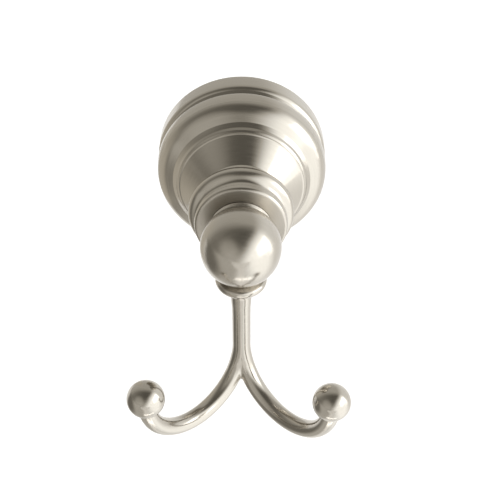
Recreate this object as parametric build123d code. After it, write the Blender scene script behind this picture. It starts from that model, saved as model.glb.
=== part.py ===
from build123d import *
import math
import os

# Double robe hook on a turned wall flange, in millimetres.
# The wall is the plane y = 0 and the hook stands out from it towards -Y, with +Z up.
# The origin is the centre of the flange's back, in the wall plane.

# Wall flange: the rim band that lies on the wall
rim_radius = 32.0
rim_band = 6.8
rim_edge_break = 0.4
rim_round_depth = 1.8
rim_round_step = 1.1

# Wall flange: the groove behind the second tier
groove_step = 2.4
groove_radius = rim_radius - groove_step
groove_depth = 9.8
groove_width = 0.5

# Wall flange: the bulging second tier, with a round of this radius
tier_step = 0.1
tier_radius = rim_radius - tier_step
tier_crest_depth = 13.1
tier_round = 9.0
tier_arc_angle = 75.0

# Wall flange: cove, thin bead and thin ring in front of the tier, with steps in from the tier
cove_step = 7.55
cove_radius = tier_radius - cove_step
cove_depth = 23.2
cove_flare = 0.35
fine_bead_step = 7.68
fine_bead_radius = tier_radius - fine_bead_step
fine_bead_depth = 24.0
fine_groove_step = 8.6
fine_groove_radius = tier_radius - fine_groove_step
fine_groove_depth = 25.1
fine_ring_step = 8.38
fine_ring_radius = tier_radius - fine_ring_step
fine_ring_depth = 25.65
ring_front_step = 8.8
ring_front_radius = tier_radius - ring_front_step
ring_front_depth = 26.1

# Wall flange: the straight cone, the hollow neck behind the bead and the broad front bead
cone_step = 9.4
cone_radius = tier_radius - cone_step
cone_depth = 26.7
front_bead_radius = 19.1
front_bead_round = 3.2
front_bead_back_angle = 80.0
front_bead_front_angle = 61.0
flange_neck_step = 4.5
flange_neck_radius = front_bead_radius - flange_neck_step
flange_neck_length = 5.1
flange_neck_hollow = 0.5

# Wall flange: the flat face and, by their setback from it, the disc's edge, the cove and the bead
face_depth = 51.3
face_edge_round = 0.9
disc_radius = 16.05
disc_corner_setback = 2.0
disc_corner_radius = 16.35
front_cove_setback = 3.3
front_cove_radius = 15.8
front_cove_sag = 0.15
front_bead_setback = 8.8

# Wall flange: the hollow inside, open at the wall
rim_wall = 3.1
bore_radius = rim_radius - rim_wall
bore_depth = 6.4
waist_step = 1.7
waist_radius = bore_radius - waist_step
waist_depth = 9.4
shoulder_wall = 5.3
shoulder_radius = tier_radius - shoulder_wall
shoulder_depth = 16.0
throat_wall = 2.2
throat_radius = cone_radius - throat_wall
throat_depth = 24.0
pocket_wall = 2.4
pocket_radius = flange_neck_radius - pocket_wall
pocket_lead = 0.9
front_wall = 4.0

# Ball post: a foot that stands in a thin gap, a short waisted neck and the ball
foot_radius = 10.5
foot_gap = 0.3
neck_radius = 11.0
neck_land = 0.3
neck_waist_radius = 10.25
neck_waist_setback = 1.1
neck_length = 1.7
ball_radius = 14.0
ball_reach = 11.3
ball_depth = face_depth + ball_reach
ball_flat = 12.4

# Threaded pieces, drawn at their major diameter
thread_clearance = 0.02
post_thread_radius = 3.0
post_screw_length = 12.0
post_screw_head_radius = 5.6
post_screw_head_height = 3.6
post_screw_head_round = 1.1
post_screw_chamfer = 0.6
hex_socket_width = 4.0
hex_socket_depth = 2.0
tip_run_out = 1.0
washer_radius = 5.9
washer_thickness = 1.5
washer_split = 1.0
washer_split_lean = 18.0
washer_play = 0.15
screw_hole_radius = 3.2
stud_length = 8.4

# Double hook: the stud's end and the collar, turned about the ball's upright axis
stud_chamfer = 0.5
collar_top_radius = 8.6
collar_radius = 9.05
collar_crest_height = 1.5
collar_foot_radius = 5.4
collar_foot_height = 4.7

# Double hook: the flare from the collar into the stem
flare_radius = 3.65
flare_height = 11.0
flare_root_radius = 4.0
flare_root_drop = 0.5
flare_pull = 3.0
stem_pull = 2.0

# Double hook: stem, arms and ball tips
stem_radius = 3.33
stem_waist_height = 17.0
split_height = 31.6
arm_bend = 22.5
arm_splay = 45.0
arm_end_radius = 3.12
tip_angle = 185.9
tip_sink = 13.9
arm_sweep = tip_angle - tip_sink
tip_radius = 6.6
crotch_radius = 2.15
crotch_sweep = 39.0
hook_turn = 1.4

# Mounting bracket
bracket_play = 0.3
bracket_height = 6.0
bracket_undercut = 3.0
bracket_land = 1.4
bracket_rim = 4.2
bracket_web = 3.4
bracket_fillet = 1.2
bracket_centre_hole = 6.0
wall_screw_spacing = 30.0
wall_screw_hole = 2.4
wall_screw_head = 4.6
wall_screw_land = 1.6
boss_wall = 2.2
boss_setback = 1.0

# Set screw in the underside of the rim
set_screw_radius = 2.0
set_screw_length = 4.0
set_screw_depth = 2.6
set_screw_seat_gap = 0.02
set_socket_width = 2.0
set_socket_depth = 1.6
set_point_radius = 0.5
cut_through = 2.0

WALL_AXIS = Axis((0, 0, 0), (0, -1, 0))
# In this plane x is a radius and y a distance out from the wall.
PROFILE = Plane(origin=(0, 0, 0), x_dir=(1, 0, 0), z_dir=(0, 0, -1))
BALL_CENTRE = Vector(0, -ball_depth, 0)
# The hook is joined with its fork at the origin, and is then hung under the ball.
FORK_DROP = ball_flat + split_height
# In this plane x is a radius about the hook's stem and y a height from the ball's centre.
HOOK_PROFILE = Plane(origin=(0, 0, FORK_DROP), x_dir=(1, 0, 0), z_dir=(0, -1, 0))


def turned(edges, plane, axis):
    """Solid of revolution from a closed outline drawn in a profile plane."""
    return revolve(plane * make_face(Curve() + edges), axis, 360)


def disc(radius, low, high):
    """Round bar about the wall axis, between two distances from the wall."""
    start = Plane(origin=(0, -low, 0), z_dir=(0, -1, 0))
    return extrude(start * Circle(radius), high - low)


def upright(radius, low, high):
    """Round bar about the hook's axis, between two heights from the ball's centre."""
    start = Plane(origin=BALL_CENTRE + Vector(0, 0, low), z_dir=(0, 0, 1))
    return extrude(start * Circle(radius), high - low)


def round_point(crest_radius, crest_depth, round_radius, angle):
    """Point of a turned round, by its angle from the crest towards the front."""
    turn = math.radians(angle)
    reach = round_radius * math.cos(turn)
    rise = round_radius * math.sin(turn)
    return (crest_radius - round_radius + reach, crest_depth + rise)


def tier_point(angle):
    return round_point(tier_radius, tier_crest_depth, tier_round, angle)


def front_bead_point(angle):
    return round_point(front_bead_radius, face_depth - front_bead_setback, front_bead_round, angle)


def cone_end():
    """Front end of the cone, where the hollow neck behind the bead begins."""
    bead_back_depth = front_bead_point(-front_bead_back_angle)[1]
    return (flange_neck_radius + flange_neck_hollow, bead_back_depth - flange_neck_length)


def flange_outline():
    """Outer turned outline of the flange, from its back edge to its front face."""
    rim_start = (rim_radius, rim_band)
    rim_front = (rim_radius - rim_round_step, rim_band + rim_round_depth)
    groove_back = (groove_radius, groove_depth)
    groove_front = (groove_radius, groove_depth + groove_width)
    tier_end = tier_point(tier_arc_angle)
    cove = (cove_radius, cove_depth)
    fine_bead = (fine_bead_radius, fine_bead_depth)
    fine_groove = (fine_groove_radius, fine_groove_depth)
    fine_ring = (fine_ring_radius, fine_ring_depth)
    ring_front = (ring_front_radius, ring_front_depth)
    cone_back = (cone_radius, cone_depth)
    bead_back = front_bead_point(-front_bead_back_angle)
    neck_middle = (flange_neck_radius, bead_back[1] - flange_neck_length / 2)
    bead_front = front_bead_point(front_bead_front_angle)
    cove_floor = (front_cove_radius, face_depth - front_cove_setback)
    disc_corner = (disc_corner_radius, face_depth - disc_corner_setback)
    disc_front = (disc_radius, face_depth - face_edge_round)
    cove_middle = (
        (front_cove_radius + disc_corner_radius) / 2 - front_cove_sag,
        face_depth - (front_cove_setback + disc_corner_setback) / 2,
    )
    return [
        Line((rim_radius - rim_edge_break, 0), (rim_radius, rim_edge_break)),
        Line((rim_radius, rim_edge_break), rim_start),
        TangentArc(rim_start, rim_front, tangent=(0, 1)),
        Line(rim_front, groove_back),
        Line(groove_back, groove_front),
        TangentArc(tier_point(0), groove_front, tangent=(0, -1)),
        ThreePointArc(tier_point(0), tier_point(tier_arc_angle / 2), tier_end),
        TangentArc(cove, tier_end, tangent=(cove_flare, -1)),
        ThreePointArc(cove, fine_bead, fine_groove),
        ThreePointArc(fine_groove, fine_ring, ring_front),
        Line(ring_front, cone_back),
        Line(cone_back, cone_end()),
        ThreePointArc(cone_end(), neck_middle, bead_back),
        ThreePointArc(bead_back, front_bead_point(0), bead_front),
        TangentArc(cove_floor, bead_front, tangent=(0, -1)),
        ThreePointArc(cove_floor, cove_middle, disc_corner),
        Line(disc_corner, disc_front),
        TangentArc(disc_front, (disc_radius - face_edge_round, face_depth), tangent=(0, 1)),
    ]


def make_wall_flange():
    face_edge = (disc_radius - face_edge_round, face_depth)
    back_edge = (rim_radius - rim_edge_break, 0)
    outer = flange_outline() + [Polyline(face_edge, (0, face_depth), (0, 0), back_edge)]
    body = turned(outer, PROFILE, WALL_AXIS)
    pocket_floor = face_depth - front_wall
    hollow = Polyline(
        (0, 0),
        (bore_radius, 0),
        (bore_radius, bore_depth),
        (waist_radius, waist_depth),
        (shoulder_radius, shoulder_depth),
        (throat_radius, throat_depth),
        (pocket_radius, cone_end()[1] - pocket_lead),
        (pocket_radius, pocket_floor),
        (0, pocket_floor),
        close=True,
    )
    body -= turned([hollow], PROFILE, WALL_AXIS)
    body -= disc(screw_hole_radius, pocket_floor, face_depth)
    body -= set_screw_bar(set_screw_radius, bore_radius - cut_through, rim_radius + cut_through)
    return body


def set_screw_bar(radius, inner, outer):
    """Round bar along the set screw's axis, which points straight down under the rim."""
    start = Plane(origin=(0, -set_screw_depth, -inner), z_dir=(0, 0, -1))
    return extrude(start * Circle(radius), outer - inner)


def make_ball_post():
    foot_top = (foot_radius, face_depth + foot_gap)
    land_start = (neck_radius, face_depth + foot_gap)
    land_end = (neck_radius, face_depth + foot_gap + neck_land)
    waist = (neck_waist_radius, face_depth + neck_waist_setback)
    join_radius = math.sqrt(ball_radius**2 - (ball_reach - neck_length) ** 2)
    join = (join_radius, face_depth + neck_length)
    front = (0, ball_depth + ball_radius)
    edges = [
        Polyline((0, face_depth), (foot_radius, face_depth), foot_top, land_start),
        Line(land_start, land_end),
        ThreePointArc(land_end, waist, join),
        ThreePointArc(join, (ball_radius, ball_depth), front),
        Line(front, (0, face_depth)),
    ]
    body = turned(edges, PROFILE, WALL_AXIS)
    floor = Plane(origin=BALL_CENTRE + Vector(0, 0, -ball_flat), z_dir=(0, 0, -1))
    body -= extrude(floor * Circle(ball_radius), ball_radius)
    thread = post_thread_radius + thread_clearance
    screw_reach = face_depth - front_wall - washer_thickness + post_screw_length
    body -= disc(thread, face_depth, screw_reach + tip_run_out)
    body -= upright(thread, -ball_flat, -ball_flat + stud_length + tip_run_out)
    return body


def make_post_screw():
    seat = face_depth - front_wall - washer_thickness
    head = disc(post_screw_head_radius, seat - post_screw_head_height, seat)
    rim = head.edges().group_by(Axis.Y)[-1]
    head = fillet(rim, post_screw_head_round)
    shank = disc(post_thread_radius, seat, seat + post_screw_length)
    shank = chamfer(shank.edges().group_by(Axis.Y)[0], post_screw_chamfer)
    mouth = Plane(origin=(0, -(seat - post_screw_head_height), 0), z_dir=(0, -1, 0))
    socket = extrude(mouth * RegularPolygon(hex_socket_width / 2, 6, major_radius=False), hex_socket_depth)
    return head + shank - socket


def make_lock_washer():
    seat = face_depth - front_wall
    inner = post_thread_radius + washer_play
    ring = disc(washer_radius, seat - washer_thickness, seat) - disc(inner, 0, seat)
    middle = (inner + washer_radius) / 2
    split = Pos(middle, -(seat - washer_thickness / 2), 0) * Rot(0, 0, washer_split_lean)
    return ring - split * Box(washer_radius, washer_thickness * 3, washer_split)


def collar_outline():
    """Outline of the stud, the collar and the stem's flare, from the stud's top down."""
    top = -ball_flat
    stud_top = top + stud_length
    crest = (collar_radius, top - collar_crest_height)
    foot = (collar_foot_radius, top - collar_foot_height)
    root = (flare_root_radius, top - collar_foot_height - flare_root_drop)
    flare = (flare_radius, top - flare_height)
    waist = (stem_radius, top - stem_waist_height)
    return [
        Line((0, stud_top), (post_thread_radius - stud_chamfer, stud_top)),
        Line((post_thread_radius - stud_chamfer, stud_top), (post_thread_radius, stud_top - stud_chamfer)),
        Line((post_thread_radius, stud_top - stud_chamfer), (post_thread_radius, top)),
        Line((post_thread_radius, top), (collar_top_radius, top)),
        TangentArc(crest, (collar_top_radius, top), tangent=(0, 1)),
        TangentArc(crest, foot, tangent=(0, -1)),
        Bezier(foot, root, (flare_radius, flare[1] + flare_pull), flare),
        Bezier(flare, (flare_radius, flare[1] - stem_pull), (stem_radius, waist[1] + stem_pull), waist),
        Line(waist, (0, waist[1])),
        Line((0, waist[1]), (0, stud_top)),
    ]


def arm_frame(side):
    """Upright plane of one arm, with x outwards along the arm and y up, at the fork."""
    splay = math.radians(arm_splay)
    outward = Vector(side * math.cos(splay), -math.sin(splay), 0)
    normal = outward.cross(Vector(0, 0, 1))
    return Plane(origin=(0, 0, 0), x_dir=outward, z_dir=normal)


def bend_point(angle):
    """Point of an arm's centre line in the arm's plane, by its angle round the bend."""
    turn = math.radians(angle)
    return (arm_bend * (1 - math.cos(turn)), -arm_bend * math.sin(turn))


def arm_section(frame, angle, radius):
    """Round section of an arm at an angle along its bend."""
    turn = math.radians(angle)
    place = frame.from_local_coords(Vector(*bend_point(angle), 0))
    heading = frame.from_local_coords(Vector(math.sin(turn), -math.cos(turn), 0)) - frame.origin
    return Plane(origin=place, x_dir=frame.z_dir, z_dir=heading) * Circle(radius)


def make_arm(side):
    """One arm: a bend of a little over a half round that narrows slightly, and its ball tip."""
    frame = arm_frame(side)
    bend = ThreePointArc(bend_point(0), bend_point(arm_sweep / 2), bend_point(arm_sweep))
    first = arm_section(frame, 0, stem_radius)
    last = arm_section(frame, arm_sweep, arm_end_radius)
    arm = sweep(sections=[first, last], path=frame * bend, multisection=True)
    tip = frame.from_local_coords(Vector(*bend_point(tip_angle), 0))
    return arm + Pos(tip) * Sphere(tip_radius)


def make_crotch():
    """Metal that fills the fork, a thin tongue between the arms with a round end."""
    frame = Plane(origin=(0, 0, 0), x_dir=(0, -1, 0), z_dir=(-1, 0, 0))
    forward = math.sin(math.radians(arm_splay))
    points = []
    for angle in (0, crotch_sweep / 2, crotch_sweep):
        out, up = bend_point(angle)
        points.append((forward * out, up))
    path = frame * ThreePointArc(*points)
    start = Plane(origin=path @ 0, z_dir=path % 0)
    tongue = sweep(start * Circle(crotch_radius), path)
    return tongue + Pos(path @ 1) * Sphere(crotch_radius)


def make_double_hook():
    collar = turned(collar_outline(), HOOK_PROFILE, Axis.Z)
    stem = extrude(Circle(stem_radius), split_height - stem_waist_height)
    body = collar.fuse(stem, make_arm(1), make_arm(-1), make_crotch())
    return Pos(BALL_CENTRE - Vector(0, 0, FORK_DROP)) * body.rotate(Axis.Z, -hook_turn)


def make_mounting_bracket():
    radius = bore_radius - bracket_play
    inner = radius - bracket_rim
    fillet_rim = (inner, bracket_web + bracket_fillet)
    fillet_web = (inner - bracket_fillet, bracket_web)
    edges = [
        Polyline(
            (bracket_centre_hole, 0),
            (radius - bracket_undercut, 0),
            (radius, bracket_height - bracket_land),
            (radius, bracket_height),
            (inner, bracket_height),
            fillet_rim,
        ),
        RadiusArc(fillet_rim, fillet_web, bracket_fillet),
        Line(fillet_web, (bracket_centre_hole, bracket_web)),
        Line((bracket_centre_hole, bracket_web), (bracket_centre_hole, 0)),
    ]
    body = turned(edges, PROFILE, WALL_AXIS)
    for side in (1, -1):
        height = side * wall_screw_spacing / 2
        front = Plane(origin=(0, -bracket_web, height), z_dir=(0, -1, 0))
        back = Plane(origin=(0, 0, height), z_dir=(0, -1, 0))
        seat = bracket_height - boss_setback
        body += extrude(front * Circle(wall_screw_head + boss_wall), seat - bracket_web)
        body -= extrude(back * Circle(wall_screw_hole), seat)
        cone_height = seat - wall_screw_land
        stand = (Align.CENTER, Align.CENTER, Align.MIN)
        cone = Cone(wall_screw_hole, wall_screw_head, cone_height, align=stand)
        body -= Plane(origin=(0, -wall_screw_land, height), z_dir=(0, -1, 0)) * cone
    return body


def undercut_radius(depth):
    """Radius of the bracket's undercut edge at a distance from the wall."""
    back = bore_radius - bracket_play - bracket_undercut
    return back + bracket_undercut * depth / (bracket_height - bracket_land)


def make_set_screw():
    inner = undercut_radius(set_screw_depth + set_point_radius) + set_screw_seat_gap
    outer = inner + set_screw_length
    radius = set_screw_radius - thread_clearance
    body = set_screw_bar(radius, inner, outer)
    point = body.edges().group_by(Axis.Z)[-1]
    body = chamfer(point, radius - set_point_radius)
    mouth = Plane(origin=(0, -set_screw_depth, -outer), z_dir=(0, 0, 1))
    socket = mouth * RegularPolygon(set_socket_width / 2, 6, major_radius=False)
    return body - extrude(socket, set_socket_depth)


MAKERS = {
    "wall_flange": make_wall_flange,
    "ball_post": make_ball_post,
    "post_screw": make_post_screw,
    "lock_washer": make_lock_washer,
    "double_hook": make_double_hook,
    "mounting_bracket": make_mounting_bracket,
    "set_screw": make_set_screw,
}

os.makedirs("parts", exist_ok=True)
for name, maker in MAKERS.items():
    export_step(maker(), f"parts/{name}.step")
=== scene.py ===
# %% [markdown]
# # A double robe hook in brushed nickel
# The real hook has three visible castings: a stepped round flange that stands on the wall,
# a ball on a short neck, and a forked hook that is screwed up into the ball.
# The fixed frame already holds every piece at its true size and place.
# This lesson gives the three castings a fine skin, finishes all the metal, and lights it softly.

# %% Load the frame
import math

import bmesh
import bpy
from mathutils import Matrix, Vector


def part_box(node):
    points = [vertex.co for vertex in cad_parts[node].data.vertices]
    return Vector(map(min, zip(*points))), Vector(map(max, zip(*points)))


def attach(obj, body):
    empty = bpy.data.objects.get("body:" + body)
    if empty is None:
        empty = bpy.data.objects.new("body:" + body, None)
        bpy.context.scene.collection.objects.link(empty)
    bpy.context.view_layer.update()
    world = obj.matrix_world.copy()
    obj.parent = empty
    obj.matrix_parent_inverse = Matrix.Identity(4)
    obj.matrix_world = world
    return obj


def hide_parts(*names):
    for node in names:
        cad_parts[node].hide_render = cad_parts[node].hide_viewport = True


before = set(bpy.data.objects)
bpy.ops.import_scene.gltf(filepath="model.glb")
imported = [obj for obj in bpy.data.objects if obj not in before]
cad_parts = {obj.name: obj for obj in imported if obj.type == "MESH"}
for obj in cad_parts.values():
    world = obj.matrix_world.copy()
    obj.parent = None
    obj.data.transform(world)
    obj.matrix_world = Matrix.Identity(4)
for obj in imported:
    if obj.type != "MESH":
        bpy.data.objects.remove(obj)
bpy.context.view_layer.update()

MM = 0.001
print("frame nodes:", ", ".join(sorted(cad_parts)))

# %% [markdown]
# ## Camera
# The photograph looks down on the hook at about 37.5 degrees, from some 39 centimetres.
# A long lens at that distance gives the mild perspective that makes the near tips large
# and the far rim small.

# %% Camera at the photograph's angle
CAMERA_PLACE = Vector((0.00313, -0.3335, 0.2070))
CAMERA_PITCH = 37.55
CAMERA_LENS = 72.0
CAMERA_SENSOR = 36.0

camera_data = bpy.data.cameras.new("camera")
camera_data.lens = CAMERA_LENS
camera_data.sensor_width = CAMERA_SENSOR
camera_data.clip_start = 0.01
camera = bpy.data.objects.new("camera", camera_data)
camera.location = CAMERA_PLACE
camera.rotation_euler = (math.radians(90 - CAMERA_PITCH), 0, 0)
bpy.context.scene.collection.objects.link(camera)
bpy.context.scene.camera = camera
bpy.context.scene.view_settings.view_transform = "Standard"
print("camera stands", round(CAMERA_PLACE.length, 3), "m from the wall centre")

# %% [markdown]
# ## Helpers for turned work
# The castings were turned or polished round an axis, so each starts as an outline that is spun.
# An outline is a list of corners, each with the radius that rounds it off.
# That is how a maker's drawing gives it, and it keeps every edge soft enough to catch light.

# %% Outline with rounded corners
ARC_STEP = math.radians(7)
STRAIGHT = 0.01


def rounded(corners):
    """Points of an open outline; each corner is (radius, height, rounding), in millimetres."""
    points = [Vector(corners[0][:2])]
    for before, corner, after in zip(corners, corners[1:], corners[2:]):
        here = Vector(corner[:2])
        back = Vector(before[:2]) - here
        ahead = Vector(after[:2]) - here
        turn = math.pi - back.angle(ahead)
        if corner[2] == 0 or turn < STRAIGHT:
            points.append(here)
            continue
        reach = corner[2] * math.tan(turn / 2)
        start = here + back.normalized() * reach
        end = here + ahead.normalized() * reach
        middle = (back.normalized() + ahead.normalized()).normalized()
        centre = here + middle * (corner[2] / math.cos(turn / 2))
        steps = max(3, math.ceil(turn / ARC_STEP))
        first = start - centre
        side = 1 if first.x * (end - centre).y - first.y * (end - centre).x > 0 else -1
        for step in range(steps + 1):
            angle = side * turn * step / steps
            spun = Vector((first.x * math.cos(angle) - first.y * math.sin(angle),
                           first.x * math.sin(angle) + first.y * math.cos(angle)))
            points.append(centre + spun)
    points.append(Vector(corners[-1][:2]))
    return points


# %% Spin an outline about an axis
SEAM_GAP = 1e-7


def spun_mesh(points, centre, axis, start, closed, steps):
    """A bmesh of an outline spun about an axis; start is the direction of its first radius."""
    axis = Vector(axis)
    start = Vector(start)
    centre = Vector(centre)
    mesh = bmesh.new()
    ring = [mesh.verts.new(centre + start * (p.x * MM) + axis * (p.y * MM)) for p in points]
    pairs = list(zip(ring, ring[1:]))
    if closed:
        pairs.append((ring[-1], ring[0]))
    edges = [mesh.edges.new(pair) for pair in pairs]
    bmesh.ops.spin(mesh, geom=ring + edges, cent=centre, axis=axis, angle=math.tau,
                   steps=steps, use_merge=True, use_duplicate=False)
    bmesh.ops.remove_doubles(mesh, verts=mesh.verts, dist=SEAM_GAP)
    bmesh.ops.recalc_face_normals(mesh, faces=mesh.faces)
    return mesh


# %% Turn a bmesh into a finished piece
CREASE = math.radians(40)


def finished(mesh, name):
    """Object at the origin with smooth faces and crisp edges where two faces meet sharply."""
    data = bpy.data.meshes.new(name)
    mesh.to_mesh(data)
    mesh.free()
    piece = bpy.data.objects.new(name, data)
    bpy.context.scene.collection.objects.link(piece)
    data.polygons.foreach_set("use_smooth", [True] * len(data.polygons))
    data.set_sharp_from_angle(angle=CREASE)
    print(name, "has", len(data.polygons), "faces")
    return piece


# %% A map that runs round the turning axis
TURNED_MEAN_RADIUS = 20.0


def wrap_face(piece, layer, face, turning, mean_radius):
    """UV of one face in metres: u runs round the axis, v along the outline, with the joint at seam."""
    centre, axis, seam = turning
    across = axis.cross(seam)
    angles = []
    alongs = []
    for index in face.loop_indices:
        offset = piece.data.vertices[piece.data.loops[index].vertex_index].co - centre
        angles.append(math.atan2(offset.dot(across), offset.dot(seam)) % math.tau)
        along = offset.dot(axis)
        alongs.append(along - (offset - axis * along).length)
    if max(angles) - min(angles) > math.pi:
        angles = [a if a > math.pi else a + math.tau for a in angles]
    for index, angle, along in zip(face.loop_indices, angles, alongs):
        layer.data[index].uv = (angle * mean_radius * MM, along)


def turned_map(piece, axis, seam):
    """Map of a piece that is turned about one axis through the origin."""
    layer = piece.data.uv_layers.new(name="turning")
    for face in piece.data.polygons:
        wrap_face(piece, layer, face, (Vector((0, 0, 0)), axis, seam), TURNED_MEAN_RADIUS)
    print(piece.name, "is mapped round its axis")


# %% [markdown]
# ## Wall flange
# The flange is one hollow casting, turned outside into a rim band, a groove, a bulging tier,
# a cove with a fine bead and ring, a cone, a hollow neck, a broad bead and a small flat face.
# It could be stacked from primitives, but one closed outline, spun, makes the outside and the
# hollow together and keeps every rounding. Each corner is (radius, depth from the wall, rounding).

# %% Wall flange outline
WALL_OUT = Vector((0, -1, 0))
UPWARD = Vector((0, 0, 1))
FACE_DEPTH = 51.3
FRONT_WALL = 4.0
SCREW_HOLE = 3.2
POCKET_RADIUS = 12.2
BORE_RADIUS = 28.9

outside_corners = [
    (30.0, 0, 0),
    (32.0, 0, 0.4),
    (32.0, 7.75, 2.4),
    (30.8, 8.5, 0.3),
    (29.85, 10.0, 0.3),
    (29.1, 10.84, 0.25),
    (31.8, 11.3, 2.4),
    (31.87, 15.6, 14.0),
    (30.6, 20.1, 6.6),
    (25.6, 22.62, 0.5),
    (24.35, 24.1, 0.7),
    (23.85, 25.2, 0.45),
    (23.2, 25.8, 0.12),
    (23.15, 26.2, 0.15),
    (22.65, 26.45, 0.1),
    (15.0, 34.35, 0.4),
    (14.6, 36.8, 1.5),
    (15.75, 39.4, 0.3),
    (18.85, 39.85, 3.2),
    (19.0, 44.5, 2.85),
    (15.8, 46.0, 1.9),
    (15.4, 48.2, 0.6),
    (16.6, 49.2, 0.4),
    (16.2, FACE_DEPTH, 1.3),
]
hollow_corners = [
    (SCREW_HOLE, FACE_DEPTH, 0),
    (SCREW_HOLE, FACE_DEPTH - FRONT_WALL, 0),
    (POCKET_RADIUS, FACE_DEPTH - FRONT_WALL, 0.8),
    (POCKET_RADIUS, 33.35, 1.0),
    (20.3, 24.0, 2.0),
    (26.6, 16.0, 1.5),
    (27.2, 9.4, 1.0),
    (BORE_RADIUS, 6.4, 0.6),
    (BORE_RADIUS, 0, 0.2),
    (29.6, 0, 0),
]
flange_points = rounded(outside_corners + hollow_corners)
print("flange outline has", len(flange_points), "points")

# %% Wall flange
FLANGE_STEPS = 240
flange_mesh = spun_mesh(flange_points, (0, 0, 0), WALL_OUT, UPWARD, True, FLANGE_STEPS)
flange = finished(flange_mesh, "turned_flange")

# %% [markdown]
# ### The set screw's hole
# A tapped hole in the underside of the rim holds the set screw.
# It is cut with a Boolean modifier, which is applied, so that the hole is real in the mesh.

# %% Cut the set screw's hole
def combine(piece, mesh, name, operation):
    """Cuts a closed bmesh out of a piece, or joins it on, and makes that part of its mesh."""
    other = finished(mesh, name)
    change = piece.modifiers.new(name, "BOOLEAN")
    change.object = other
    change.operation = operation
    change.solver = "EXACT"
    graph = bpy.context.evaluated_depsgraph_get()
    data = bpy.data.meshes.new_from_object(piece.evaluated_get(graph))
    old = piece.data
    piece.modifiers.clear()
    piece.data = data
    bpy.data.meshes.remove(old)
    bpy.data.objects.remove(other)


SET_SCREW_RADIUS = 2.0
SET_SCREW_CUT = 12.0
HOLE_SIDES = 48
screw_low, screw_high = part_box("set_screw")
screw_axis = (screw_low + screw_high) / 2
hole_mesh = bmesh.new()
hole_place = Matrix.Translation((0, screw_axis.y, screw_low.z))
bmesh.ops.create_cone(hole_mesh, cap_ends=True, segments=HOLE_SIDES, radius1=SET_SCREW_RADIUS * MM,
                      radius2=SET_SCREW_RADIUS * MM, depth=SET_SCREW_CUT * MM, matrix=hole_place)
combine(flange, hole_mesh, "set_screw_hole", "DIFFERENCE")
flange.data.set_sharp_from_angle(angle=CREASE)
turned_map(flange, WALL_OUT, -UPWARD)
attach(flange, "root")
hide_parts("wall_flange")

# %% [markdown]
# ## Ball post
# The ball and its neck are one turned piece. The neck stands on a foot that is a little narrower
# than itself, and the gap leaves the dark line that the photograph shows. A sphere and a cylinder
# would meet too sharply, so both come from one spun outline. The ball is then cut flat
# underneath, where the hook's collar seats.

# %% Ball post
BALL_DEPTH = 62.6
BALL_RADIUS = 14.0
BALL_FLAT = 12.4
FOOT_RADIUS = 10.5
FOOT_GAP = 0.3
NECK_RADIUS = 11.0
NECK_LAND = 0.7
NECK_WAIST_SETBACK = 1.1
NECK_WAIST = 10.19
NECK_LENGTH = 1.7
BALL_STEPS = 160
BALL_ARC_STEPS = 64


def ball_outline():
    """Neck corners, then the ball's arc from the neck to its front pole."""
    foot = [
        (0, FACE_DEPTH, 0),
        (FOOT_RADIUS, FACE_DEPTH, 0),
        (FOOT_RADIUS, FACE_DEPTH + FOOT_GAP, 0),
        (NECK_RADIUS, FACE_DEPTH + FOOT_GAP, 0.08),
        (NECK_RADIUS, FACE_DEPTH + NECK_LAND, 0.15),
        (NECK_WAIST, FACE_DEPTH + NECK_WAIST_SETBACK, 0.6),
        (NECK_WAIST, FACE_DEPTH + NECK_LENGTH, 0),
    ]
    points = rounded(foot)
    first = math.acos(NECK_WAIST / BALL_RADIUS)
    for step in range(1, BALL_ARC_STEPS + 1):
        angle = -first + (first + math.pi / 2) * step / BALL_ARC_STEPS
        radius = BALL_RADIUS * math.cos(angle)
        points.append(Vector((max(radius, 0), BALL_DEPTH + BALL_RADIUS * math.sin(angle))))
    return points


ball_mesh = spun_mesh(ball_outline(), (0, 0, 0), WALL_OUT, UPWARD, False, BALL_STEPS)
everything = ball_mesh.verts[:] + ball_mesh.edges[:] + ball_mesh.faces[:]
flat_cut = bmesh.ops.bisect_plane(ball_mesh, geom=everything, plane_co=(0, 0, -BALL_FLAT * MM),
                                  plane_no=(0, 0, -1), clear_outer=True, dist=SEAM_GAP)
rim_edges = [g for g in flat_cut["geom_cut"] if isinstance(g, bmesh.types.BMEdge)]
bmesh.ops.holes_fill(ball_mesh, edges=rim_edges)
ball = finished(ball_mesh, "ball_and_neck")
turned_map(ball, WALL_OUT, -UPWARD)
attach(ball, "root")
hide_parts("ball_post")

# %% [markdown]
# ## Double hook
# Collar, stem, arms and tips are one casting. The two arms mirror each other, so one half is made:
# a tube that runs down the stem and round a half circle, cut off at the middle plane.
# The mirrored half meets it there, and the fork is then smoothed, as a casting's fillet would be.
# A curve with a bevel would also give a tube, but its two arms would cross and not grow together.

# %% The hook's own frame
HOOK_TURN = 1.4
ARM_BEND = 22.5
ARM_SPLAY = 45.0
ARM_SWEEP = 185.9
STEM_RADIUS = 3.33
ARM_END_RADIUS = 3.12
TIP_RADIUS = 6.6
STEM_TOP = -29.4
SPLIT_HEIGHT = -44.0
RING_SIDES = 64
BEND_STEPS = 110
STEM_STEPS = 12

outward = Vector((math.cos(math.radians(ARM_SPLAY)), -math.sin(math.radians(ARM_SPLAY)), 0))


def arm_ring(mesh, place, heading, radius):
    """A ring of vertices square to the arm, with its first vertex on the outer side."""
    first = heading.cross(outward.cross(UPWARD)).normalized()
    second = heading.cross(first)
    ring = []
    for side in range(RING_SIDES):
        angle = math.tau * side / RING_SIDES
        out = first * radius * math.cos(angle)
        over = second * radius * math.sin(angle)
        ring.append(mesh.verts.new((place + out + over) * MM))
    return ring


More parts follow.
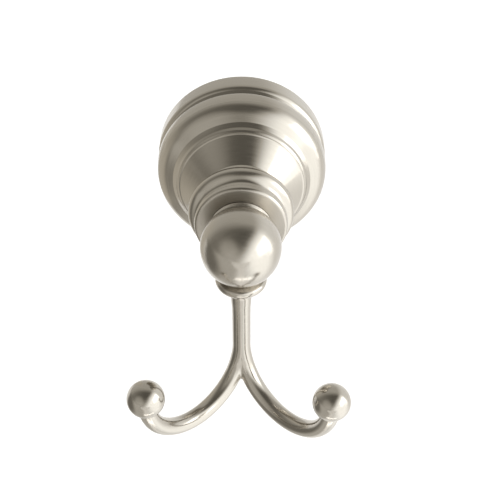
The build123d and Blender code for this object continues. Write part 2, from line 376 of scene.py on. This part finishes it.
def join_rings(mesh, one, two):
    """Quads between two rings."""
    for side in range(RING_SIDES):
        after = (side + 1) % RING_SIDES
        mesh.faces.new((one[side], one[after], two[after], two[side]))


# %% One arm as a tube
CUT_GAP = 1e-6


def arm_place(angle):
    """Centre and heading of the arm at an angle round its bend."""
    height = SPLIT_HEIGHT - ARM_BEND * math.sin(angle)
    place = outward * ARM_BEND * (1 - math.cos(angle)) + UPWARD * height
    heading = outward * math.sin(angle) - UPWARD * math.cos(angle)
    return place, heading


def half_hook():
    """Stem and right arm as one tube, cut off at the middle plane."""
    mesh = bmesh.new()
    rings = []
    for step in range(STEM_STEPS):
        height = STEM_TOP + (SPLIT_HEIGHT - STEM_TOP) * step / STEM_STEPS
        rings.append(arm_ring(mesh, UPWARD * height, -UPWARD, STEM_RADIUS))
    sweep = math.radians(ARM_SWEEP)
    for step in range(BEND_STEPS + 1):
        share = step / BEND_STEPS
        place, heading = arm_place(sweep * share)
        radius = STEM_RADIUS + (ARM_END_RADIUS - STEM_RADIUS) * share
        rings.append(arm_ring(mesh, place, heading, radius))
    for one, two in zip(rings, rings[1:]):
        join_rings(mesh, one, two)
    mesh.faces.new(rings[-1])
    everything = mesh.verts[:] + mesh.edges[:] + mesh.faces[:]
    bmesh.ops.bisect_plane(mesh, geom=everything, plane_co=(0, 0, 0), plane_no=(1, 0, 0),
                           clear_inner=True, dist=CUT_GAP)
    return mesh


# %% Mirror the arm and smooth the fork
CROTCH_REACH = 2.6
CROTCH_TOP = 6.0
CROTCH_FOOT = 16.0
CROTCH_PASSES = 12
MIRROR_GAP = 2e-6

hook_mesh = half_hook()
everything = hook_mesh.verts[:] + hook_mesh.edges[:] + hook_mesh.faces[:]
bmesh.ops.mirror(hook_mesh, geom=everything, matrix=Matrix.Identity(4), merge_dist=MIRROR_GAP, axis="X")
bmesh.ops.remove_doubles(hook_mesh, verts=hook_mesh.verts, dist=MIRROR_GAP)
crotch_top = (SPLIT_HEIGHT - CROTCH_TOP) * MM
crotch_foot = (SPLIT_HEIGHT - CROTCH_FOOT) * MM
for _ in range(CROTCH_PASSES):
    fork = [v for v in hook_mesh.verts
            if abs(v.co.x) < CROTCH_REACH * MM and crotch_foot < v.co.z < crotch_top]
    bmesh.ops.smooth_vert(hook_mesh, verts=fork, factor=0.5,
                          use_axis_x=True, use_axis_y=True, use_axis_z=True)
print("the fork is smoothed over", len(fork), "points")

# %% Collar above the stem
COLLAR_RADIUS = 9.05
COLLAR_FOOT = -17.13
COLLAR_GAP = 1e-5

collar_corners = [
    (0, -BALL_FLAT, 0),
    (6.7, -BALL_FLAT, 0.1),
    (COLLAR_RADIUS, -13.2, 1.2),
    (COLLAR_RADIUS, COLLAR_FOOT, 3.0),
    (5.4, COLLAR_FOOT, 0.4),
    (4.6, -17.5, 0.8),
    (3.76, -20.6, 3.0),
    (3.65, -23.4, 3.0),
    (3.42, -26.5, 4.0),
    (STEM_RADIUS, STEM_TOP, 0),
]
collar_points = rounded(collar_corners)
collar_mesh = spun_mesh(collar_points, (0, 0, 0), UPWARD, outward, False, RING_SIDES)
collar_data = bpy.data.meshes.new("collar")
collar_mesh.to_mesh(collar_data)
collar_mesh.free()
hook_mesh.from_mesh(collar_data)
bpy.data.meshes.remove(collar_data)
bmesh.ops.remove_doubles(hook_mesh, verts=hook_mesh.verts, dist=COLLAR_GAP)
bmesh.ops.recalc_face_normals(hook_mesh, faces=hook_mesh.faces)
hook = finished(hook_mesh, "forked_hook")

# %% [markdown]
# ### Ball tips
# Each arm runs into a ball. The balls are spun with their poles along the arm,
# then joined to the casting with a Boolean union, which leaves one clean closed skin.

# %% Ball tips
TIP_STEPS = 96
TIP_ARC_STEPS = 48


def tip_mesh(side):
    """A ball at the end of one arm, turned about the arm's last direction."""
    place, heading = arm_place(math.radians(ARM_SWEEP))
    across = outward.cross(UPWARD)
    for vector in (place, heading, across):
        vector.x *= side
    points = []
    for step in range(TIP_ARC_STEPS + 1):
        angle = math.pi * step / TIP_ARC_STEPS - math.pi / 2
        points.append(Vector((TIP_RADIUS * max(math.cos(angle), 0), TIP_RADIUS * math.sin(angle))))
    return spun_mesh(points, place * MM, heading, across, False, TIP_STEPS)


for side, label in ((1, "right_tip"), (-1, "left_tip")):
    combine(hook, tip_mesh(side), label, "UNION")

# %% Turn the hook on its post, and map it
HOOK_ORIGIN = Vector((0, -BALL_DEPTH * MM, 0))
HOOK_MEAN_RADIUS = 8.0
STEM_REACH = 12.0
TIP_MARGIN = 0.1


def tip_frame(side):
    """Centre, axis and seam of one ball tip."""
    place, heading = arm_place(math.radians(ARM_SWEEP))
    for vector in (place, heading):
        vector.x *= side
    return place * MM, heading, Vector((outward.x * side, outward.y, 0))


def bend_frame(middle, side):
    """Centre, axis and seam of the arm's section that lies nearest to a place."""
    plane_out = Vector((outward.x * side, outward.y, 0))
    local = Vector((middle.dot(plane_out) / MM - ARM_BEND, middle.z / MM - SPLIT_HEIGHT))
    turn = math.atan2(-local.y, -local.x)
    reach = plane_out * (ARM_BEND - ARM_BEND * math.cos(turn))
    centre = (reach + UPWARD * (SPLIT_HEIGHT - ARM_BEND * math.sin(turn))) * MM
    axis = plane_out * math.sin(turn) - UPWARD * math.cos(turn)
    return centre, axis, plane_out * math.cos(turn) + UPWARD * math.sin(turn)


def hook_map(piece):
    """Map made before the hook is turned: round and along the collar, the rods and the tips."""
    layer = piece.data.uv_layers.new(name="turning")
    tips = {side: tip_frame(side) for side in (1, -1)}
    for face in piece.data.polygons:
        side = 1 if face.center.x > 0 else -1
        if face.center.z >= SPLIT_HEIGHT * MM and abs(face.center.x) <= STEM_REACH * MM:
            turning = (Vector((0, 0, 0)), UPWARD, Vector((0, 1, 0)))
        elif (face.center - tips[side][0]).length < (TIP_RADIUS + TIP_MARGIN) * MM:
            turning = tips[side]
        else:
            turning = bend_frame(face.center, side)
        wrap_face(piece, layer, face, turning, HOOK_MEAN_RADIUS)
    print(piece.name, "is mapped along its rods")


hook_map(hook)
hook_turn = Matrix.Rotation(math.radians(-HOOK_TURN), 4, "Z")
hook.data.transform(Matrix.Translation(HOOK_ORIGIN) @ hook_turn)
hook.data.set_sharp_from_angle(angle=CREASE)
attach(hook, "root")
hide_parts("double_hook")

# %% [markdown]
# ## Finishes
# Brushed nickel is nickel plate over a casting, rubbed with a fine abrasive round each turning.
# The rubbing leaves hair lines a few hundredths of a millimetre wide and some millimetres long.
# They stretch reflections across the lines, and make the light break into faint streaks.
# An anisotropic metal along the turning map gives that stretch, and a noise drawn out along
# the same map gives the lines. The flat face of the flange is rubbed more roughly.

# %% Colours and node helpers
def linear(code):
    """Linear colour from an sRGB hex value."""
    values = [int(code[i:i + 2], 16) / 255 for i in (0, 2, 4)]
    return tuple(v / 12.92 if v <= 0.04045 else ((v + 0.055) / 1.055) ** 2.4 for v in values) + (1.0,)


def add(tree, kind, settings=None, inputs=None):
    """Adds a node with its settings; an input is a value or an output to link from."""
    node = tree.nodes.new(kind)
    for key, value in (settings or {}).items():
        setattr(node, key, value)
    for key, value in (inputs or {}).items():
        if isinstance(value, bpy.types.NodeSocket):
            tree.links.new(value, node.inputs[key])
        else:
            node.inputs[key].default_value = value
    return node


def ramp(tree, value, span, levels=(0.0, 1.0), soft=True):
    """Output that goes from one level to the other while the value crosses a span."""
    settings = {"interpolation_type": "SMOOTHSTEP"} if soft else None
    node = add(tree, "ShaderNodeMapRange", settings, {
        "Value": value, "From Min": span[0], "From Max": span[1],
        "To Min": levels[0], "To Max": levels[1]})
    return node.outputs["Result"]


def new_material(name):
    """An empty material and its node tree."""
    material = bpy.data.materials.new(name)
    material.use_nodes = True
    material.node_tree.nodes.clear()
    return material, material.node_tree


# %% Brushed nickel
HAIR_LENGTH = 9.0
HAIR_WIDTH = 0.5
HAIR_DEPTH = 0.01
HAIR_GLOSS = 0.03
CLOUDS_PER_METRE = 90.0
CLOUD_GLOSS = 0.015
NOISE_SPAN = (0.3, 0.7)
FACE_SKIN = 0.25
QUARTER_TURN = 0.25
NICKEL_DARK = linear("B2ACA2")
NICKEL_LIGHT = linear("BEB8AE")


def brushed_nickel(name, roughness, stretch, depth, face_extra=0.0):
    """Nickel plate, brushed along u; the hair lines are drawn wider than life so that they show."""
    material, tree = new_material(name)
    place = add(tree, "ShaderNodeUVMap", {"uv_map": "turning"})
    hairs_place = add(tree, "ShaderNodeMapping", None, {
        "Vector": place.outputs["UV"], "Scale": (1 / (HAIR_LENGTH * MM), 1 / (HAIR_WIDTH * MM), 1)})
    hairs = add(tree, "ShaderNodeTexNoise", {"noise_dimensions": "2D"}, {
        "Vector": hairs_place.outputs["Vector"], "Scale": 1.0, "Detail": 3.0, "Roughness": 0.6})
    cloud = add(tree, "ShaderNodeTexNoise", None, {
        "Vector": place.outputs["UV"], "Scale": CLOUDS_PER_METRE, "Detail": 2.0})
    tint = add(tree, "ShaderNodeMix", {"data_type": "RGBA"}, {
        "Factor": hairs.outputs["Fac"], "A": NICKEL_DARK, "B": NICKEL_LIGHT})
    spot = add(tree, "ShaderNodeSeparateXYZ", None, {
        "Vector": add(tree, "ShaderNodeTexCoord").outputs["Object"]})
    rough = ramp(tree, hairs.outputs["Fac"], NOISE_SPAN,
                 (roughness - HAIR_GLOSS, roughness + HAIR_GLOSS), soft=False)
    clouding = ramp(tree, cloud.outputs["Fac"], NOISE_SPAN, (-CLOUD_GLOSS, CLOUD_GLOSS), soft=False)
    flat_face = ramp(tree, spot.outputs["Y"], ((FACE_SKIN - FACE_DEPTH) * MM, -FACE_DEPTH * MM),
                     (0.0, face_extra), soft=False)
    for extra in (clouding, flat_face):
        rough = add(tree, "ShaderNodeMath", {"operation": "ADD"}, {
            0: rough, 1: extra}).outputs["Value"]
    bump = add(tree, "ShaderNodeBump", None, {
        "Height": hairs.outputs["Fac"], "Strength": depth, "Distance": HAIR_DEPTH * MM})
    along = add(tree, "ShaderNodeTangent", {"direction_type": "UV_MAP", "uv_map": "turning"})
    skin = add(tree, "ShaderNodeBsdfPrincipled", None, {
        "Base Color": tint.outputs["Result"], "Metallic": 1.0, "Roughness": rough,
        "Anisotropic": stretch, "Anisotropic Rotation": QUARTER_TURN,
        "Normal": bump.outputs["Normal"], "Tangent": along.outputs["Tangent"]})
    add(tree, "ShaderNodeOutputMaterial", None, {"Surface": skin.outputs["BSDF"]})
    return material


FINISHES = {
    flange: brushed_nickel("brushed_nickel_flange", roughness=0.18, stretch=0.55, depth=0.25,
                           face_extra=0.22),
    ball: brushed_nickel("brushed_nickel_ball", roughness=0.2, stretch=0.4, depth=0.15),
    hook: brushed_nickel("satin_nickel_hook", roughness=0.17, stretch=0.3, depth=0.1),
}
for piece, material in FINISHES.items():
    piece.data.materials.clear()
    piece.data.materials.append(material)
    print(piece.name, "wears", material.name)

# %% [markdown]
# ### Hidden hardware
# The bracket is die-cast zinc left as it came from the die, with a faintly mottled matt skin.
# The post screw and the washer are zinc-plated steel, smoother and paler, and the set screw
# is steel blackened in oil. One small grain in colour, gloss and height tells them apart.

# %% Cast zinc and plated steel
GRAIN_GLOSS = 0.06
GRAIN_DEPTH = 0.02


def plain_metal(name, dark, light, grain, roughness, depth):
    """Metal with a grain of the given size in millimetres, as casting or plating leaves it."""
    material, tree = new_material(name)
    place = add(tree, "ShaderNodeTexCoord")
    speckle = add(tree, "ShaderNodeTexNoise", None, {
        "Vector": place.outputs["Object"], "Scale": 1 / (grain * MM), "Detail": 4.0})
    tint = add(tree, "ShaderNodeMix", {"data_type": "RGBA"}, {
        "Factor": speckle.outputs["Fac"], "A": linear(dark), "B": linear(light)})
    rough = ramp(tree, speckle.outputs["Fac"], (0.0, 1.0),
                 (roughness - GRAIN_GLOSS, roughness + GRAIN_GLOSS), soft=False)
    bump = add(tree, "ShaderNodeBump", None, {
        "Height": speckle.outputs["Fac"], "Strength": depth, "Distance": GRAIN_DEPTH * MM})
    skin = add(tree, "ShaderNodeBsdfPrincipled", None, {
        "Base Color": tint.outputs["Result"], "Metallic": 1.0, "Roughness": rough,
        "Normal": bump.outputs["Normal"]})
    add(tree, "ShaderNodeOutputMaterial", None, {"Surface": skin.outputs["BSDF"]})
    return material


CAST_ZINC = plain_metal("cast_zinc", "8E9092", "A6A8AA", grain=0.8, roughness=0.5, depth=0.5)
PLATED_STEEL = plain_metal("zinc_plated_steel", "A9AAA8", "C2C3C0",
                           grain=0.4, roughness=0.3, depth=0.2)
BLACK_STEEL = plain_metal("oiled_black_steel", "2E2E2F", "444446",
                          grain=0.3, roughness=0.38, depth=0.2)
HARDWARE = {
    "mounting_bracket": CAST_ZINC,
    "post_screw": PLATED_STEEL,
    "lock_washer": PLATED_STEEL,
    "set_screw": BLACK_STEEL,
}
for node, material in HARDWARE.items():
    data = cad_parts[node].data
    data.materials.clear()
    data.materials.append(material)
    print(node, "wears", material.name)

# %% [markdown]
# ## Floor
# The hook hangs high above a plain pale floor, so the floor fills the picture behind it.
# The floor adds a little light of its own for the camera and for reflections and glass,
# so that it shows white there and throws no more light on the hook.

# %% Pale floor
FLOOR_HEIGHT = -0.45
FLOOR_HALF = 4.0
FLOOR_LIFT = 0.69

floor_mesh = bmesh.new()
bmesh.ops.create_grid(floor_mesh, x_segments=1, y_segments=1, size=FLOOR_HALF,
                      matrix=Matrix.Translation((0, 0, FLOOR_HEIGHT)))
floor = finished(floor_mesh, "pale_floor")
floor_material, tree = new_material("pale_floor_paint")
rays = add(tree, "ShaderNodeLightPath")
seen = add(tree, "ShaderNodeMath", {"operation": "ADD"}, {
    0: rays.outputs["Is Camera Ray"], 1: rays.outputs["Is Glossy Ray"]})
seen = add(tree, "ShaderNodeMath", {"operation": "ADD", "use_clamp": True}, {
    0: seen.outputs["Value"], 1: rays.outputs["Is Transmission Ray"]})
lift = add(tree, "ShaderNodeMath", {"operation": "MULTIPLY"}, {
    0: seen.outputs["Value"], 1: FLOOR_LIFT})
paint = add(tree, "ShaderNodeBsdfPrincipled", None, {
    "Base Color": linear("D8D8D8"), "Roughness": 0.9, "Emission Color": (1, 1, 1, 1),
    "Emission Strength": lift.outputs["Value"]})
add(tree, "ShaderNodeOutputMaterial", None, {"Surface": paint.outputs["BSDF"]})
floor.data.materials.append(floor_material)

# %% [markdown]
# ## Cards round the hook
# Polished metal shows the room more than itself, so a product photographer hangs cards about it.
# A grey one at the lower left gives the dark rims, a white one at the lower right the bright
# sides, and a small one close to the flange lifts its left flank. Each glows softly, fades out
# at its edges, and shows in reflections only.

# %% Light and edges of a card
# Light colours are linear factors on the level.
DIM_COLOUR = (1.05, 1.0, 0.89, 1.0)
WINDOW_COLOUR = (0.98, 1.0, 1.01, 1.0)
DIM_TO_WINDOW = (0.15, 1.3)


def warmed(tree, level):
    """Colour of a light by its level: the dim parts of a room are warmer than its windows."""
    colour = add(tree, "ShaderNodeMix", {"data_type": "RGBA"}, {
        "Factor": ramp(tree, level, DIM_TO_WINDOW, soft=False), "A": DIM_COLOUR, "B": WINDOW_COLOUR})
    return colour.outputs["Result"]


def soft_cover(tree, edges):
    """How much of a card shows; an edge is a coordinate and the span from gone to full."""
    cover = 1.0
    for coordinate, span in edges:
        cover = add(tree, "ShaderNodeMath", {"operation": "MULTIPLY"}, {
            0: ramp(tree, coordinate, span), 1: cover}).outputs["Value"]
    return cover


def light_card(card, material, cover, colour, level):
    """Makes a card glow where it is covered, out of the camera's sight and without a shadow."""
    tree = material.node_tree
    board = add(tree, "ShaderNodeEmission", None, {"Color": colour, "Strength": level})
    clear = add(tree, "ShaderNodeBsdfTransparent")
    veil = add(tree, "ShaderNodeMixShader", None, {
        "Fac": cover, 1: clear.outputs["BSDF"], 2: board.outputs["Emission"]})
    add(tree, "ShaderNodeOutputMaterial", None, {"Surface": veil.outputs["Shader"]})
    card.data.materials.append(material)
    card.visible_camera = False
    card.visible_diffuse = False
    card.visible_shadow = False


# %% Curved cards below the hook on both sides
CARD_RADIUS = 0.42
CARD_TURN = math.radians(115)
CARD_STEPS = 24
CARD_NEAR = -0.95
CARD_FAR = 0.35
CARD_TOP = (0.14, -0.06)


def curved_card(name, side, inner_edge, far_edge, slant, span, levels):
    """A card round the hook's lower side; its level and its edges go by the direction."""
    mesh = bmesh.new()
    line = [mesh.verts.new((0, y, -CARD_RADIUS)) for y in (CARD_NEAR, CARD_FAR)]
    bmesh.ops.spin(mesh, geom=line + [mesh.edges.new(line)], cent=(0, 0, 0), axis=(0, 1, 0),
                   angle=-side * CARD_TURN, steps=CARD_STEPS)
    card = finished(mesh, name)
    material, tree = new_material(name + "_board")
    way = add(tree, "ShaderNodeVectorMath", {"operation": "NORMALIZE"}, {
        0: add(tree, "ShaderNodeTexCoord").outputs["Object"]})
    parts = add(tree, "ShaderNodeSeparateXYZ", None, {"Vector": way.outputs["Vector"]})
    across, back, up = (parts.outputs[axis] for axis in "XYZ")
    slanted = add(tree, "ShaderNodeMath", {"operation": "MULTIPLY_ADD"}, {0: up, 1: slant, 2: across})
    level = ramp(tree, slanted.outputs["Value"], span, levels)
    cover = soft_cover(tree, [(across, inner_edge), (up, CARD_TOP), (back, far_edge)])
    light_card(card, material, cover, warmed(tree, level), level)


curved_card("grey_card", -1, inner_edge=(-0.03, -0.25), far_edge=(0.35, 0.0), slant=0.44,
            span=(-0.8, -1.02), levels=(0.68, 0.24))
curved_card("white_card", 1, inner_edge=(0.0, 0.22), far_edge=(0.15, -0.45), slant=0.0,
            span=(0.1, 0.55), levels=(1.15, 1.95))

# %% Small card beside the flange's left flank
SIDE_CARD_X = -0.07
SIDE_CARD_NEAR = (-0.05, -0.022)
SIDE_CARD_FAR = 0.05
SIDE_CARD_FOOT = (-0.085, -0.055)
SIDE_CARD_TOP = (0.06, -0.01)
SIDE_CARD_LEVEL = 0.66

near, low, high = SIDE_CARD_NEAR[0], SIDE_CARD_FOOT[0], SIDE_CARD_TOP[0]
side_mesh = bmesh.new()
side_mesh.faces.new([side_mesh.verts.new((SIDE_CARD_X, y, z)) for y, z in (
    (near, low), (SIDE_CARD_FAR, low), (SIDE_CARD_FAR, high), (near, high))])
side_card = finished(side_mesh, "side_card")
side_material, tree = new_material("side_card_board")
spot = add(tree, "ShaderNodeSeparateXYZ", None, {
    "Vector": add(tree, "ShaderNodeTexCoord").outputs["Object"]})
side_cover = soft_cover(tree, [
    (spot.outputs["Y"], SIDE_CARD_NEAR),
    (spot.outputs["Z"], SIDE_CARD_FOOT),
    (spot.outputs["Z"], SIDE_CARD_TOP),
])
light_card(side_card, side_material, side_cover, DIM_COLOUR, SIDE_CARD_LEVEL)

# %% [markdown]
# ## World
# The world is a soft studio. It is dim overhead in front, where the dark band on the ball and
# the cone comes from, lighter behind and near the horizon, dim on the left, and on the right
# one great window whose edge leans over the hook. A picture of a room could do this too,
# but a few soft steps in direction are easier to match to what the ball in the photograph shows.

# %% Soft studio world
# A span is a range of the direction's depth, height or breadth; levels hold before and after it.
OVERHEAD = {"span": (-0.15, 0.4), "levels": (0.15, 0.6)}
LEFT = {"span": (0.0, 0.6), "levels": (0.27, 0.6)}
RIGHT = {"span": (-0.05, 0.3), "levels": (2.05, 1.15)}
WINDOW_LEAN = {"span": (-0.6, 0.0), "levels": (-0.5, -0.75), "soft": False}
HORIZON = 0.74
HORIZON_SPAN = (0.85, -0.05)
LEFT_SPAN = (0.0, -1.0)
WINDOW_SPAN = (-0.2, 0.52)
GLOW_WAY = (-0.57, -0.71, 0.41)
GLOW_LEVEL = 0.24
GLOW_SPAN = (0.82, 0.99)

world = bpy.data.worlds.new("soft_studio")
bpy.context.scene.world = world
world.use_nodes = True
tree = world.node_tree
tree.nodes.clear()
way = add(tree, "ShaderNodeTexCoord").outputs["Generated"]
parts = add(tree, "ShaderNodeSeparateXYZ", None, {"Vector": way})
across, back, up = (parts.outputs[axis] for axis in "XYZ")
window = add(tree, "ShaderNodeMath", {"operation": "MULTIPLY_ADD"}, {
    0: up, 1: ramp(tree, back, **WINDOW_LEAN), 2: across}).outputs["Value"]
level = ramp(tree, back, **OVERHEAD)
for share, light in (
        (ramp(tree, up, HORIZON_SPAN), HORIZON),
        (ramp(tree, across, LEFT_SPAN, soft=False), ramp(tree, back, **LEFT)),
        (ramp(tree, window, WINDOW_SPAN), ramp(tree, back, **RIGHT))):
    level = add(tree, "ShaderNodeMix", {"data_type": "FLOAT"}, {
        "Factor": share, "A": level, "B": light}).outputs["Result"]
print("the world is dim overhead and bright on the right")

# %% Faint glow at the upper left
near = add(tree, "ShaderNodeVectorMath", {"operation": "DOT_PRODUCT"}, {
    0: way, 1: Vector(GLOW_WAY).normalized()})
level = add(tree, "ShaderNodeMath", {"operation": "ADD"}, {
    0: level, 1: ramp(tree, near.outputs["Value"], GLOW_SPAN, (0.0, GLOW_LEVEL))}).outputs["Value"]
sky = add(tree, "ShaderNodeBackground", None, {"Color": warmed(tree, level), "Strength": level})
add(tree, "ShaderNodeOutputWorld", None, {"Surface": sky.outputs["Background"]})
print("world has", len(tree.nodes), "nodes")

# %% [markdown]
# ## Lamps
# A large soft lamp on the right lights the floor and the hook's right side. A thin strip low in
# front draws the crisp glint under the ball. Each is set by how bright its own face looks,
# because that is what the metal shows.

# %% Lamps
def soft_lamp(name, place, facing, wide, high, radiance):
    """Rectangular lamp at a place, shining the way it faces, set by its own face's brightness."""
    data = bpy.data.lights.new(name, "AREA")
    data.shape = "RECTANGLE"
    data.size = wide
    data.size_y = high
    data.energy = radiance * math.pi * wide * high
    lamp = bpy.data.objects.new(name, data)
    lamp.location = place
    lamp.rotation_euler = Vector(facing).to_track_quat("-Z", "Y").to_euler()
    bpy.context.scene.collection.objects.link(lamp)
    print(name, "gives", round(data.energy, 2), "W")


soft_lamp("right_softbox", place=(0.62, -0.3, 0.1), facing=(-1, 0, 0),
          wide=0.55, high=0.5, radiance=2.0)
soft_lamp("low_strip", place=(0.03, -0.23, -0.33), facing=(-0.03, 0.23, 0.33),
          wide=0.2, high=0.03, radiance=2.6)
